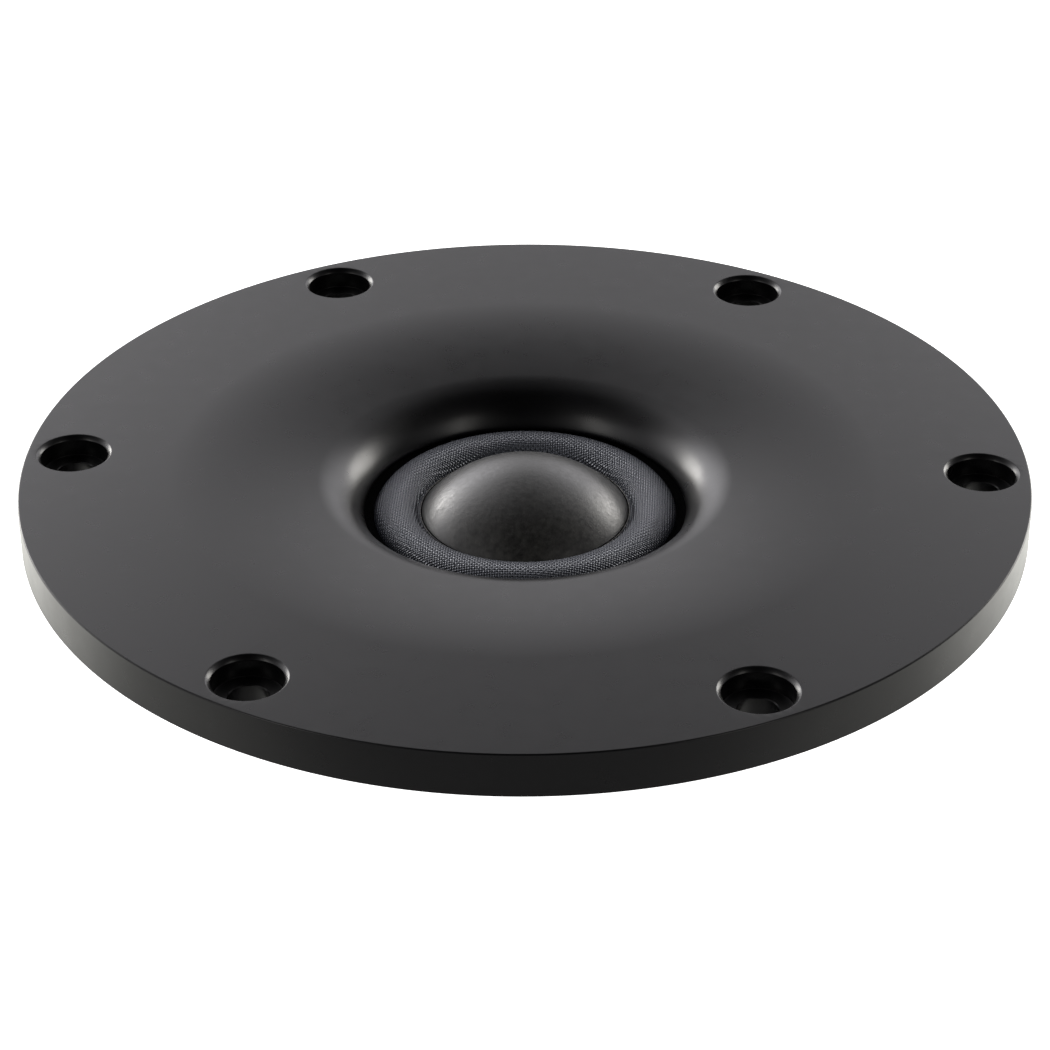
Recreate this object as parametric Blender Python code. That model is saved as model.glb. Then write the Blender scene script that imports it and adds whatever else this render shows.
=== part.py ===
"""Dome tweeter with a wide, dished faceplate and a vented ring-magnet motor, piece by piece.

Lengths are in metres and +Z points out of the front. The origin is the centre of the rear
cup's back face, so the tweeter stands on the cup. Every round piece is turned about Z. The
dome, the former and the winding hang under one empty, which marks the axis they travel on.
"""
import math

import bmesh
import bpy

# Clearances
GAP = 0.0003                    # between pieces that rest on each other
WELD = 0.0000001                # merge distance for the seam and the poles of turned meshes
CUTTER_MARGIN = 0.0010          # how far a cutter stands out of the face that it opens

# Motor stack, from the back face upwards
CUP_HEIGHT = 0.0104
GASKET_THICKNESS = 0.0006
YOKE_THICKNESS = 0.0035
MAGNET_THICKNESS = 0.0045
TOP_PLATE_THICKNESS = 0.0035
GASKET_BOTTOM = CUP_HEIGHT + GAP
GASKET_TOP = GASKET_BOTTOM + GASKET_THICKNESS
YOKE_BOTTOM = GASKET_TOP + GAP
YOKE_TOP = YOKE_BOTTOM + YOKE_THICKNESS
MAGNET_BOTTOM = YOKE_TOP + GAP
MAGNET_TOP = MAGNET_BOTTOM + MAGNET_THICKNESS
TOP_PLATE_BOTTOM = MAGNET_TOP + GAP
TOP_PLATE_TOP = TOP_PLATE_BOTTOM + TOP_PLATE_THICKNESS

# Faceplate
PLATE_RADIUS = 0.0600
PLATE_THICKNESS = 0.0054
EDGE_BREAK = 0.0002
HUB_RADIUS = 0.0380
HUB_DEPTH = 0.0030
HUB_BOTTOM = TOP_PLATE_TOP + GAP
FLANGE_BOTTOM = HUB_BOTTOM + HUB_DEPTH
FACE_Z = FLANGE_BOTTOM + PLATE_THICKNESS
DISH_RADIUS = 0.0422            # where the flat face starts to fall
FLARE_RADIUS = 0.0249           # where the shallow dish turns into the flare
FLARE_DEPTH = 0.00145
THROAT_RADIUS = 0.01938
LIP_DEPTH = 0.0063
RECESS_RADIUS = 0.0233
DISH_POWER = 1.9                # how late the dish falls
FLARE_ARC_RADIUS = 0.0070
DISH_END_SLOPE = math.atan(DISH_POWER * FLARE_DEPTH / (DISH_RADIUS - FLARE_RADIUS))
FLARE_END_SLOPE = math.asin(math.sin(DISH_END_SLOPE)
                            + (FLARE_RADIUS - THROAT_RADIUS) / FLARE_ARC_RADIUS)

# Screw holes of the faceplate
HOLE_COUNT = 6
HOLE_CIRCLE_RADIUS = 0.0543
HOLE_CHAMFER_RADIUS = 0.00447
COUNTERBORE_RADIUS = 0.0040
COUNTERBORE_DEPTH = 0.0026
THROUGH_HOLE_RADIUS = 0.00225

# Diaphragm
DOME_RADIUS = 0.0124
DOME_HEIGHT = 0.0055
DOME_TOP = FACE_Z - 0.0010
DOME_RIM = DOME_TOP - DOME_HEIGHT
SHEET_THICKNESS = 0.0003        # dome and surround, thicker than the real foil and cloth
SURROUND_INNER = DOME_RADIUS + GAP
ROLL_INNER = 0.0129
ROLL_OUTER = 0.01825
ROLL_HEIGHT = 0.00175
SURROUND_OUTER = 0.0230
SURROUND_TOP = FACE_Z - LIP_DEPTH - GAP
SURROUND_BOTTOM = SURROUND_TOP - SHEET_THICKNESS
RING_INNER = 0.0189
RING_OUTER = 0.0230
RING_TOP = SURROUND_BOTTOM - GAP
FORMER_INNER = 0.0119
FORMER_OUTER = 0.0121
FORMER_SETBACK = 0.0005         # below the dome's rim
FORMER_TOP = DOME_RIM - FORMER_SETBACK
FORMER_LENGTH = 0.0059
COIL_INNER = 0.0122
COIL_OUTER = 0.0128
COIL_LENGTH = 0.0026
COIL_CENTRE = TOP_PLATE_TOP - TOP_PLATE_THICKNESS / 2

# Motor, radially
TOP_PLATE_RADIUS = 0.0360
MAGNETIC_GAP_RADIUS = 0.0133
MAGNET_INNER = 0.0160
MAGNET_OUTER = 0.0270
YOKE_RADIUS = 0.0270
POLE_RADIUS = 0.0109
VENT_RADIUS = 0.0040
CAP_CLEARANCE = 0.0002
CAP_THICKNESS = 0.0003
CAP_SKIRT = 0.0042
FELT_INNER = 0.0044
FELT_OUTER = 0.0095
FELT_THICKNESS = 0.0015

# Rear cup
CUP_RADIUS = 0.0205
CUP_FLANGE_RADIUS = 0.0250
CUP_FLANGE_THICKNESS = 0.0016
CUP_WALL = 0.0016
CUP_CORNER_RADIUS = 0.0016
GASKET_INNER = 0.0192
PAD_RADIUS = 0.0180
PAD_THICKNESS = 0.0030

# Screws: shank radius, head radius and head height
MOTOR_SCREW = (0.0014, 0.00275, 0.0030)
MOTOR_SCREW_CIRCLE = 0.0315
MOTOR_SCREW_ANGLES = (45, 135, 225, 315)
MOTOR_HOLE_RADIUS = 0.0017
MOTOR_HOLE_TOP = FLANGE_BOTTOM + 0.0014
CUP_SCREW = (0.00095, 0.0019, 0.0015)
CUP_SCREW_CIRCLE = 0.0228
CUP_SCREW_ANGLES = (0, 90, 180, 270)
CUP_HOLE_RADIUS = 0.0012
CUP_HOLE_TOP = YOKE_TOP - 0.0009
BOARD_SCREW = (0.00095, 0.0019, 0.0012)
BOARD_HOLE_RADIUS = 0.0012
BOARD_HOLE_TOP = TOP_PLATE_TOP - 0.0008
SHANK_END_CLEARANCE = 0.0004
SCREW_TIP_SHARE = 0.3           # chamfer at the tip, as a share of the shank's radius
SOCKET_SHARE = 0.55             # hexagon socket, as a share of the head's radius
SOCKET_DEPTH_SHARE = 0.5        # and of its height

# Terminals, on the +Y side
TERMINAL_X = 0.0050
WIRE_Y = 0.0296
RIVET_Y = 0.0316
WIRE_HOLE_RADIUS = 0.0011
BOARD_HALF_WIDTH = 0.0095
BOARD_FRONT = 0.0282
BOARD_BACK = 0.0344
BOARD_THICKNESS = 0.0016
BOARD_TOP = TOP_PLATE_BOTTOM - GAP
BOARD_BOTTOM = BOARD_TOP - BOARD_THICKNESS
TAB_THICKNESS = 0.0008
TAB_TOP = BOARD_BOTTOM - GAP
TAB_FRONT = 0.0288
TAB_BACK = 0.0342
TAB_LENGTH = 0.0082
TAB_POINT = 0.0008
TAB_WIDTHS = {"positive": 0.0048, "negative": 0.0028}
RIVET_HOLE_RADIUS = 0.0010
RIVET_SHANK_RADIUS = 0.0007
RIVET_HEAD_RADIUS = 0.0013
RIVET_HEAD_HEIGHT = 0.0005
RIVET_CROWN_SHARE = 0.7         # flat crown of the head, as a share of the head's radius

# Leads
CHANNEL_HALF_WIDTH = 0.0010
CHANNEL_START = 0.0180
CHANNEL_END = 0.0312
CHANNEL_DEPTH = 0.0008
LEAD_Z = TOP_PLATE_TOP + 0.00065
COIL_LEAD_RADIUS = 0.0002
SLEEVE_RADIUS = 0.0003
LEAD_JOINT_Y = 0.0242           # where the coil's own lead meets the sleeved one
LEAD_BEND_RADIUS = 0.0012
COIL_LEAD_START_X = 0.0040
COIL_LEAD_HUMP = 0.0006         # height of the free loop under the surround
COIL_LEAD_LOOP = (0.0130, 0.0144, 0.0160, 0.0176)   # y of the loop's foot, top, top and foot

# Resolution
PLATE_STEPS = 60
TURNED_STEPS = 40
HIDDEN_STEPS = 32
HOLE_STEPS = 16
SMALL_HOLE_STEPS = 12
SCREW_STEPS = 18                # a multiple of 6, for the hexagon sockets
DISH_STEPS = 4
FLARE_STEPS = 7
DOME_STEPS = 5
ROLL_STEPS = 6
CORNER_STEPS = 3
SHARP_ANGLE = math.radians(32)

# Finishes: colour, roughness, metallic
FINISHES = {
    "black_anodised": ((0.016, 0.016, 0.018), 0.42, 0.6),
    "dome_metal": ((0.10, 0.10, 0.10), 0.38, 1.0),
    "coated_cloth": ((0.030, 0.032, 0.040), 0.55, 0.0),
    "black_plastic": ((0.012, 0.012, 0.013), 0.50, 0.0),
    "former_foil": ((0.55, 0.55, 0.56), 0.35, 1.0),
    "copper_wire": ((0.62, 0.26, 0.12), 0.35, 1.0),
    "copper_sheet": ((0.72, 0.35, 0.20), 0.30, 1.0),
    "black_steel": ((0.030, 0.030, 0.033), 0.38, 0.8),
    "nickel": ((0.52, 0.50, 0.46), 0.25, 1.0),
    "felt": ((0.10, 0.10, 0.095), 0.95, 0.0),
    "wool": ((0.60, 0.57, 0.50), 0.95, 0.0),
    "foam_rubber": ((0.020, 0.020, 0.020), 0.80, 0.0),
    "brown_board": ((0.13, 0.055, 0.025), 0.50, 0.0),
    "tinned_brass": ((0.62, 0.60, 0.55), 0.30, 1.0),
    "zinc_steel": ((0.08, 0.08, 0.085), 0.35, 1.0),
    "red_sleeve": ((0.45, 0.020, 0.018), 0.45, 0.0),
    "black_sleeve": ((0.015, 0.015, 0.016), 0.45, 0.0),
}


def clear_objects():
    for thing in list(bpy.data.objects):
        bpy.data.objects.remove(thing, do_unlink=True)


def finish(name):
    """The Principled material of that name, made on first use."""
    material = bpy.data.materials.get(name)
    if material:
        return material
    colour, roughness, metallic = FINISHES[name]
    material = bpy.data.materials.new(name)
    material.use_nodes = True
    shader = material.node_tree.nodes["Principled BSDF"]
    shader.inputs["Base Color"].default_value = (*colour, 1.0)
    shader.inputs["Roughness"].default_value = roughness
    shader.inputs["Metallic"].default_value = metallic
    return material


def arc(centre, radius, start, end, steps):
    """Points on an arc in the (radius, height) plane; angles in radians from the +radius side."""
    angles = [start + (end - start) * step / steps for step in range(steps + 1)]
    return [(centre[0] + radius * math.cos(a), centre[1] + radius * math.sin(a)) for a in angles]


def polar(radius, degrees):
    angle = math.radians(degrees)
    return (radius * math.cos(angle), radius * math.sin(angle))


# Meshes

def finished_mesh(bm, name):
    mesh = bpy.data.meshes.new(name)
    bmesh.ops.recalc_face_normals(bm, faces=bm.faces)
    bm.to_mesh(mesh)
    bm.free()
    mesh.shade_smooth()
    mesh.set_sharp_from_angle(angle=SHARP_ANGLE)
    return mesh


def turned_mesh(name, outline, steps):
    """Spin an outline of (radius, height) points about Z.

    An outline that starts and ends on the axis gives a solid; any other is closed into a ring.
    """
    bm = bmesh.new()
    verts = [bm.verts.new((radius, 0.0, height)) for radius, height in outline]
    pairs = list(zip(verts, verts[1:]))
    if outline[0][0] > 0.0:
        pairs.append((verts[-1], verts[0]))
    edges = [bm.edges.new(pair) for pair in pairs]
    bmesh.ops.spin(bm, geom=verts + edges, cent=(0, 0, 0), axis=(0, 0, 1), angle=2 * math.pi,
                   steps=steps, use_merge=True)
    bmesh.ops.remove_doubles(bm, verts=bm.verts, dist=WELD)
    return finished_mesh(bm, name)


def ring_mesh(name, inner, outer, bottom, top, steps):
    outline = [(inner, bottom), (outer, bottom), (outer, top), (inner, top)]
    return turned_mesh(name, outline, steps)


def disc_mesh(name, radius, bottom, top, steps):
    outline = [(0.0, bottom), (radius, bottom), (radius, top), (0.0, top)]
    return turned_mesh(name, outline, steps)


def box_mesh(name, low, high):
    bm = bmesh.new()
    bmesh.ops.create_cube(bm, size=1.0)
    for vert in bm.verts:
        for axis in range(3):
            middle = (low[axis] + high[axis]) / 2
            vert.co[axis] = middle + vert.co[axis] * (high[axis] - low[axis])
    return finished_mesh(bm, name)


def extruded_mesh(name, outline, low_x, high_x):
    """A closed (y, z) outline, extruded along X."""
    bm = bmesh.new()
    face = bm.faces.new([bm.verts.new((low_x, y, z)) for y, z in outline])
    extruded = bmesh.ops.extrude_face_region(bm, geom=[face])
    moved = [item for item in extruded["geom"] if isinstance(item, bmesh.types.BMVert)]
    bmesh.ops.translate(bm, verts=moved, vec=(high_x - low_x, 0.0, 0.0))
    return finished_mesh(bm, name)


def repeated_mesh(name, mesh, places):
    """One mesh with a copy of another at each (x, y) place."""
    bm = bmesh.new()
    for x, y in places:
        first = len(bm.verts)
        bm.from_mesh(mesh)
        bm.verts.ensure_lookup_table()
        bmesh.ops.translate(bm, verts=bm.verts[first:], vec=(x, y, 0.0))
    return finished_mesh(bm, name)


def hexagon_radius(inscribed, angle):
    """Distance from the centre to a hexagon's side, for a hexagon with a corner at angle 0."""
    side = math.radians(60)
    return inscribed / math.cos(angle % side - side / 2)


def screw_mesh(name, size, shank_length):
    """A cap screw with its seat at height 0, its shank upwards and a hexagon socket below."""
    shank, head, head_height = size
    socket = head * SOCKET_SHARE
    socket_floor = -head_height * (1 - SOCKET_DEPTH_SHARE)
    tip = shank * SCREW_TIP_SHARE
    sections = [
        (shank - tip, shank_length, False),
        (shank, shank_length - tip, False),
        (shank, 0.0, False),
        (head, 0.0, False),
        (head, -head_height, False),
        (socket, -head_height, True),
        (socket, socket_floor, True),
    ]
    bm = bmesh.new()
    loops = []
    for size_here, height, hexagonal in sections:
        loop = []
        for step in range(SCREW_STEPS):
            angle = 2 * math.pi * step / SCREW_STEPS
            radius = hexagon_radius(size_here, angle) if hexagonal else size_here
            loop.append(bm.verts.new((radius * math.cos(angle), radius * math.sin(angle), height)))
        loops.append(loop)
    for upper, lower in zip(loops, loops[1:]):
        for step in range(SCREW_STEPS):
            after = (step + 1) % SCREW_STEPS
            bm.faces.new((upper[step], upper[after], lower[after], lower[step]))
    bm.faces.new(loops[0])
    bm.faces.new(loops[-1])
    return finished_mesh(bm, name)


# Objects

def add_piece(name, mesh, finish_name, parent=None, location=(0.0, 0.0, 0.0)):
    thing = bpy.data.objects.new(name, mesh)
    if not mesh.materials:
        mesh.materials.append(finish(finish_name))
    thing.location = location
    thing.parent = parent
    bpy.context.scene.collection.objects.link(thing)
    return thing


def add_cutter(name, mesh):
    cutter = bpy.data.objects.new(name, mesh)
    cutter.hide_render = True
    cutter.display_type = "WIRE"
    bpy.context.scene.collection.objects.link(cutter)
    return cutter


def cut(thing, *cutters):
    for cutter in cutters:
        boolean = thing.modifiers.new(cutter.name, "BOOLEAN")
        boolean.operation = "DIFFERENCE"
        boolean.solver = "EXACT"
        boolean.object = cutter


def add_lead(name, points, radius, finish_name):
    """A round lead along a route through the points."""
    curve = bpy.data.curves.new(name, "CURVE")
    curve.dimensions = "3D"
    curve.bevel_depth = radius
    curve.bevel_resolution = 2
    curve.use_fill_caps = True
    curve.materials.append(finish(finish_name))
    spline = curve.splines.new("POLY")
    spline.points.add(len(points) - 1)
    for point, place in zip(spline.points, points):
        point.co = (*place, 1.0)
    lead = bpy.data.objects.new(name, curve)
    bpy.context.scene.collection.objects.link(lead)
    return lead


# Cutters

def counterbore_cutter():
    """Chamfer, counterbore and through hole of the six faceplate screws."""
    chamfer = HOLE_CHAMFER_RADIUS - COUNTERBORE_RADIUS
    floor = FACE_Z - COUNTERBORE_DEPTH
    outline = [
        (0.0, FLANGE_BOTTOM - CUTTER_MARGIN),
        (THROUGH_HOLE_RADIUS, FLANGE_BOTTOM - CUTTER_MARGIN),
        (THROUGH_HOLE_RADIUS, floor),
        (COUNTERBORE_RADIUS, floor),
        (COUNTERBORE_RADIUS, FACE_Z - chamfer),
        (HOLE_CHAMFER_RADIUS + CUTTER_MARGIN, FACE_Z + CUTTER_MARGIN),
        (0.0, FACE_Z + CUTTER_MARGIN),
    ]
    hole = turned_mesh("counterbore", outline, HOLE_STEPS)
    angles = [360 * index / HOLE_COUNT for index in range(HOLE_COUNT)]
    places = [polar(HOLE_CIRCLE_RADIUS, angle) for angle in angles]
    return add_cutter("counterbore_cutter", repeated_mesh("counterbores", hole, places))


def drill_cutter(name, radius, bottom, top, places):
    hole = disc_mesh(name, radius, bottom, top, SMALL_HOLE_STEPS)
    return add_cutter(name, repeated_mesh(name, hole, places))


def channel_cutter():
    """The two grooves that let the leads out under the hub."""
    low = (-CHANNEL_HALF_WIDTH, CHANNEL_START, TOP_PLATE_TOP + GAP / 2)
    high = (CHANNEL_HALF_WIDTH, CHANNEL_END, HUB_BOTTOM + CHANNEL_DEPTH)
    groove = box_mesh("channel", low, high)
    places = [(-TERMINAL_X, 0.0), (TERMINAL_X, 0.0)]
    return add_cutter("channel_cutter", repeated_mesh("channels", groove, places))


# Faceplate

def dish_outline():
    """The front face from the edge of the dish to the throat, from outside to inside."""
    points = []
    for step in range(DISH_STEPS):
        share = step / DISH_STEPS
        radius = DISH_RADIUS + (FLARE_RADIUS - DISH_RADIUS) * share
        points.append((radius, FACE_Z - FLARE_DEPTH * share ** DISH_POWER))
    centre = (FLARE_RADIUS + FLARE_ARC_RADIUS * math.sin(DISH_END_SLOPE),
              FACE_Z - FLARE_DEPTH - FLARE_ARC_RADIUS * math.cos(DISH_END_SLOPE))
    start = math.pi / 2 + DISH_END_SLOPE
    end = math.pi / 2 + FLARE_END_SLOPE
    points += arc(centre, FLARE_ARC_RADIUS, start, end, FLARE_STEPS)
    return points


def faceplate(*cutters):
    outline = [
        (PLATE_RADIUS - EDGE_BREAK, FACE_Z),
        *dish_outline(),
        (THROAT_RADIUS, FACE_Z - LIP_DEPTH),
        (RECESS_RADIUS, FACE_Z - LIP_DEPTH),
        (RECESS_RADIUS, HUB_BOTTOM),
        (HUB_RADIUS - EDGE_BREAK, HUB_BOTTOM),
        (HUB_RADIUS, HUB_BOTTOM + EDGE_BREAK),
        (HUB_RADIUS, FLANGE_BOTTOM),
        (PLATE_RADIUS - EDGE_BREAK, FLANGE_BOTTOM),
        (PLATE_RADIUS, FLANGE_BOTTOM + EDGE_BREAK),
        (PLATE_RADIUS, FACE_Z - EDGE_BREAK),
    ]
    mesh = turned_mesh("faceplate", outline, PLATE_STEPS)
    cut(add_piece("faceplate", mesh, "black_anodised"), *cutters)


# Diaphragm

def dome_outline():
    """A spherical shell: out along the front, then back along the underside."""
    sphere = (DOME_RADIUS ** 2 + DOME_HEIGHT ** 2) / (2 * DOME_HEIGHT)
    centre = (0.0, DOME_TOP - sphere)
    rim = math.acos(DOME_RADIUS / sphere)
    front = arc(centre, sphere, math.pi / 2, rim, DOME_STEPS)
    back = arc(centre, sphere - SHEET_THICKNESS, rim, math.pi / 2, DOME_STEPS)
    front[0] = (0.0, front[0][1])
    back[-1] = (0.0, back[-1][1])
    return front + back


def roll_arc(inset, foot_height):
    """The half-roll's cross-section, from its outer foot over the crown to its inner foot."""
    half_width = (ROLL_OUTER - ROLL_INNER) / 2
    radius = (half_width ** 2 + ROLL_HEIGHT ** 2) / (2 * ROLL_HEIGHT)
    centre = ((ROLL_OUTER + ROLL_INNER) / 2, SURROUND_TOP + ROLL_HEIGHT - radius)
    foot = math.asin((foot_height - centre[1]) / (radius - inset))
    return arc(centre, radius - inset, foot, math.pi - foot, ROLL_STEPS)


def surround():
    outline = [
        (SURROUND_OUTER, SURROUND_BOTTOM),
        (SURROUND_OUTER, SURROUND_TOP),
        *roll_arc(0.0, SURROUND_TOP),
        (SURROUND_INNER, SURROUND_TOP),
        (SURROUND_INNER, SURROUND_BOTTOM),
        *reversed(roll_arc(SHEET_THICKNESS, SURROUND_BOTTOM)),
    ]
    add_piece("surround", turned_mesh("surround", outline, TURNED_STEPS), "coated_cloth")


def moving_pieces():
    """The dome, former and winding, under an empty on the axis that they travel along."""
    travel = bpy.data.objects.new("diaphragm_travel", None)
    travel.location = (0.0, 0.0, DOME_RIM)
    bpy.context.scene.collection.objects.link(travel)
    below_rim = (0.0, 0.0, -DOME_RIM)

    dome = turned_mesh("dome_cap", dome_outline(), TURNED_STEPS)
    add_piece("dome_cap", dome, "dome_metal", travel, below_rim)
    former = ring_mesh("coil_former", FORMER_INNER, FORMER_OUTER, FORMER_TOP - FORMER_LENGTH,
                       FORMER_TOP, TURNED_STEPS)
    add_piece("coil_former", former, "former_foil", travel, below_rim)
    winding = ring_mesh("voice_coil", COIL_INNER, COIL_OUTER, COIL_CENTRE - COIL_LENGTH / 2,
                        COIL_CENTRE + COIL_LENGTH / 2, TURNED_STEPS)
    add_piece("voice_coil", winding, "copper_wire", travel, below_rim)


def diaphragm_ring(channels):
    mesh = ring_mesh("diaphragm_ring", RING_INNER, RING_OUTER, HUB_BOTTOM, RING_TOP, HIDDEN_STEPS)
    cut(add_piece("diaphragm_ring", mesh, "black_plastic"), channels)


# Motor

def top_plate(*cutters):
    mesh = ring_mesh("top_plate", MAGNETIC_GAP_RADIUS, TOP_PLATE_RADIUS, TOP_PLATE_BOTTOM,
                     TOP_PLATE_TOP, TURNED_STEPS)
    cut(add_piece("top_plate", mesh, "black_steel"), *cutters)


def magnet_ring():
    mesh = ring_mesh("magnet_ring", MAGNET_INNER, MAGNET_OUTER, MAGNET_BOTTOM, MAGNET_TOP,
                     TURNED_STEPS)
    add_piece("magnet_ring", mesh, "nickel")


def yoke(cup_holes):
    """The rear plate and the vented pole, in one piece of steel."""
    outline = [
        (VENT_RADIUS, YOKE_BOTTOM),
        (YOKE_RADIUS - EDGE_BREAK, YOKE_BOTTOM),
        (YOKE_RADIUS, YOKE_BOTTOM + EDGE_BREAK),
        (YOKE_RADIUS, YOKE_TOP),
        (POLE_RADIUS, YOKE_TOP),
        (POLE_RADIUS, TOP_PLATE_TOP),
        (VENT_RADIUS, TOP_PLATE_TOP),
    ]
    cut(add_piece("yoke", turned_mesh("yoke", outline, TURNED_STEPS), "black_steel"), cup_holes)


def pole_cap():
    inner = POLE_RADIUS + CAP_CLEARANCE
    outer = inner + CAP_THICKNESS
    ceiling = TOP_PLATE_TOP + CAP_CLEARANCE
    outline = [
        (VENT_RADIUS, ceiling),
        (inner, ceiling),
        (inner, TOP_PLATE_TOP - CAP_SKIRT),
        (outer, TOP_PLATE_TOP - CAP_SKIRT),
        (outer, ceiling + CAP_THICKNESS),
        (VENT_RADIUS, ceiling + CAP_THICKNESS),
    ]
    add_piece("pole_cap", turned_mesh("pole_cap", outline, HIDDEN_STEPS), "copper_sheet")


def pole_felt():
    bottom = TOP_PLATE_TOP + CAP_CLEARANCE + CAP_THICKNESS + GAP
    mesh = ring_mesh("pole_felt", FELT_INNER, FELT_OUTER, bottom, bottom + FELT_THICKNESS,
                     HIDDEN_STEPS)
    add_piece("pole_felt", mesh, "felt")


# Rear chamber

def rear_cup(cup_holes):
    flange_bottom = CUP_HEIGHT - CUP_FLANGE_THICKNESS
    chamber = CUP_RADIUS - CUP_WALL
    corner = arc((CUP_RADIUS - CUP_CORNER_RADIUS, CUP_CORNER_RADIUS), CUP_CORNER_RADIUS,
                 -math.pi / 2, 0.0, CORNER_STEPS)
    outline = [
        (0.0, 0.0),
        *corner,
        (CUP_RADIUS, flange_bottom),
        (CUP_FLANGE_RADIUS, flange_bottom),
        (CUP_FLANGE_RADIUS, CUP_HEIGHT),
        (chamber, CUP_HEIGHT),
        (chamber, CUP_WALL),
        (0.0, CUP_WALL),
    ]
    mesh = turned_mesh("rear_cup", outline, TURNED_STEPS)
    cut(add_piece("rear_cup", mesh, "black_anodised"), cup_holes)


def cup_gasket(cup_holes):
    mesh = ring_mesh("cup_gasket", GASKET_INNER, CUP_FLANGE_RADIUS, GASKET_BOTTOM, GASKET_TOP,
                     HIDDEN_STEPS)
    cut(add_piece("cup_gasket", mesh, "foam_rubber"), cup_holes)


def chamber_felt():
    bottom = CUP_WALL + GAP
    mesh = disc_mesh("chamber_felt", PAD_RADIUS, bottom, bottom + PAD_THICKNESS, HIDDEN_STEPS)
    add_piece("chamber_felt", mesh, "wool")


# Screws

def screw_set(name, size, circle, angles, seat, hole_top):
    mesh = screw_mesh(name, size, hole_top - SHANK_END_CLEARANCE - seat)
    for number, angle in enumerate(angles, start=1):
        x, y = polar(circle, angle)
        add_piece(f"{name}_{number}", mesh, "zinc_steel", location=(x, y, seat))


# Terminals and leads

def terminal_board(*cutters):
    low = (-BOARD_HALF_WIDTH, BOARD_FRONT, BOARD_BOTTOM)
    high = (BOARD_HALF_WIDTH, BOARD_BACK, BOARD_TOP)
    board = add_piece("terminal_board", box_mesh("terminal_board", low, high), "brown_board")
    cut(board, *cutters)


def terminal_tab(polarity, x, rivet_holes):
    """A foot under the board and a pointed blade that reaches back from its outer edge."""
    half_width = TAB_WIDTHS[polarity] / 2
    foot_bottom = TAB_TOP - TAB_THICKNESS
    blade_front = TAB_BACK - TAB_THICKNESS
    end = TAB_TOP - TAB_LENGTH
    outline = [
        (TAB_FRONT, TAB_TOP),
        (TAB_FRONT, foot_bottom),
        (blade_front, foot_bottom),
        (blade_front, end + TAB_POINT),
        (blade_front + TAB_THICKNESS / 4, end),
        (TAB_BACK - TAB_THICKNESS / 4, end),
        (TAB_BACK, end + TAB_POINT),
        (TAB_BACK, TAB_TOP),
    ]
    name = f"terminal_tab_{polarity}"
    mesh = extruded_mesh(name, outline, x - half_width, x + half_width)
    cut(add_piece(name, mesh, "tinned_brass"), rivet_holes)


def terminal_rivet(polarity, x):
    """A rivet with its head under the tab's foot and its shank up through the board."""
    seat = TAB_TOP - TAB_THICKNESS - GAP
    outline = [
        (0.0, seat - RIVET_HEAD_HEIGHT),
        (RIVET_HEAD_RADIUS * RIVET_CROWN_SHARE, seat - RIVET_HEAD_HEIGHT),
        (RIVET_HEAD_RADIUS, seat),
        (RIVET_SHANK_RADIUS, seat),
        (RIVET_SHANK_RADIUS, BOARD_TOP),
        (0.0, BOARD_TOP),
    ]
    name = f"terminal_rivet_{polarity}"
    add_piece(name, turned_mesh(name, outline, SMALL_HOLE_STEPS), "tinned_brass",
              location=(x, RIVET_Y, 0.0))


def coil_lead(side, x):
    """From the former, in a small hump under the surround, into the channel."""
    direction = math.copysign(1.0, x)
    start_x = direction * COIL_LEAD_START_X
    start = FORMER_OUTER + GAP + COIL_LEAD_RADIUS
    loop_heights = (COIL_LEAD_HUMP / 3, COIL_LEAD_HUMP, COIL_LEAD_HUMP, COIL_LEAD_HUMP / 3)
    points = [(start_x, math.sqrt(start ** 2 - start_x ** 2), LEAD_Z)]
    for step, (y, height) in enumerate(zip(COIL_LEAD_LOOP, loop_heights), start=1):
        loop_x = start_x + (x - start_x) * step / len(COIL_LEAD_LOOP)
        points.append((loop_x, y, LEAD_Z + height))
    points.append((x, CHANNEL_START + GAP, LEAD_Z))
    points.append((x, LEAD_JOINT_Y, LEAD_Z))
    add_lead(f"coil_lead_{side}", points, COIL_LEAD_RADIUS, "copper_wire")


def terminal_lead(side, x, finish_name):
    """Along the channel, then down through the top plate and the board to the tab."""
    bend_centre = (WIRE_Y - LEAD_BEND_RADIUS, LEAD_Z - LEAD_BEND_RADIUS)
    points = [(x, LEAD_JOINT_Y + GAP, LEAD_Z)]
    points += [(x, y, z) for y, z in arc(bend_centre, LEAD_BEND_RADIUS, math.pi / 2, 0.0,
                                         CORNER_STEPS)]
    points.append((x, WIRE_Y, TAB_TOP + GAP))
    add_lead(f"terminal_lead_{side}", points, SLEEVE_RADIUS, finish_name)


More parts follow.
